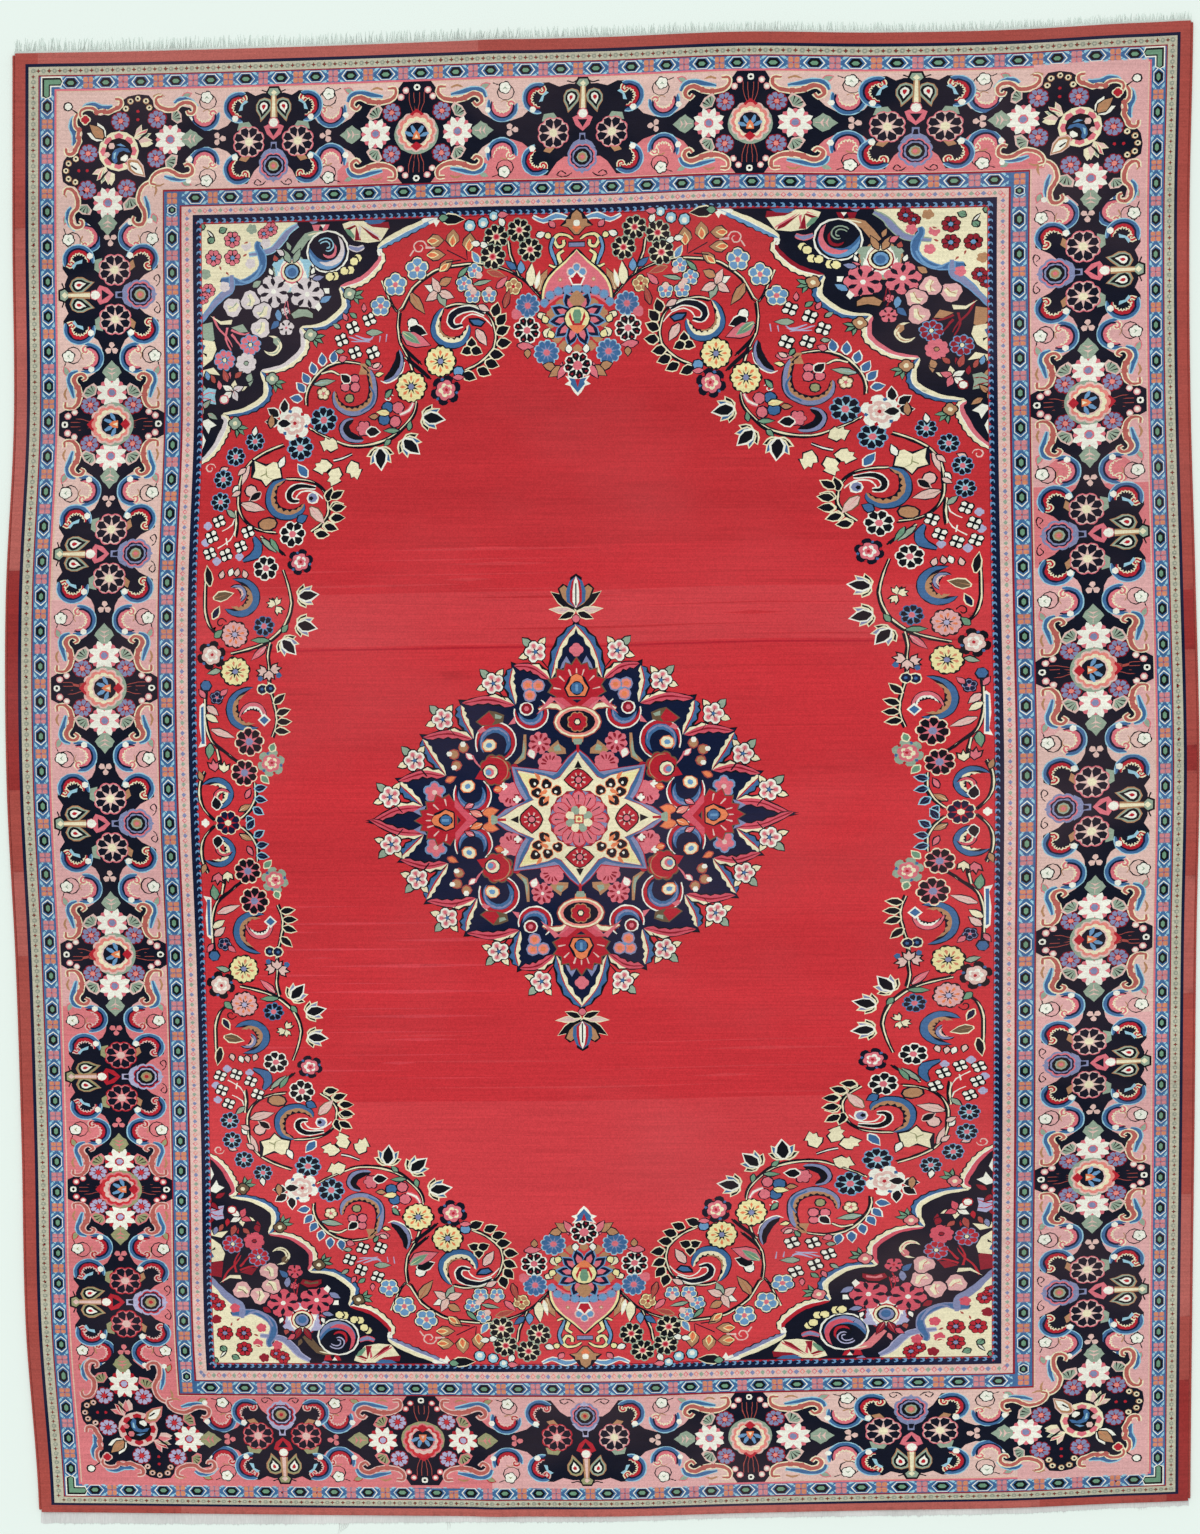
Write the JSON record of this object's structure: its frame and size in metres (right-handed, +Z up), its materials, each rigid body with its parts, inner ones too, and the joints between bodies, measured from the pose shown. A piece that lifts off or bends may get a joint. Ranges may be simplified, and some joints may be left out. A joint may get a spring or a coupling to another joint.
{
  "type": "persian rug",
  "caption": "Flat hand-knotted wool rug with a medallion and floral borders, overcast sides, a warp fringe at one end and a woven cotton web at the other.",
  "frame": {"origin": "on the floor, under the middle of the rug's bounding box", "axes": "+Z up out of the pile; +Y along the rug's length, from the end with the woven web to the end with the fringe; +X across the rug's width"},
  "size_m": [2.6264, 3.3526, 0.0155],
  "materials": {
    "pile": "matt knotted wool pile",
    "selvedge_wool": "matt overcast wool",
    "warp_cotton": "matt undyed cotton"
  },
  "bodies": {
    "root": {"rug_body": "pile", "selvedge_left": "selvedge_wool", "selvedge_right": "selvedge_wool", "fringe_far": "warp_cotton", "web_near": "warp_cotton"}
  },
  "joints": []
}
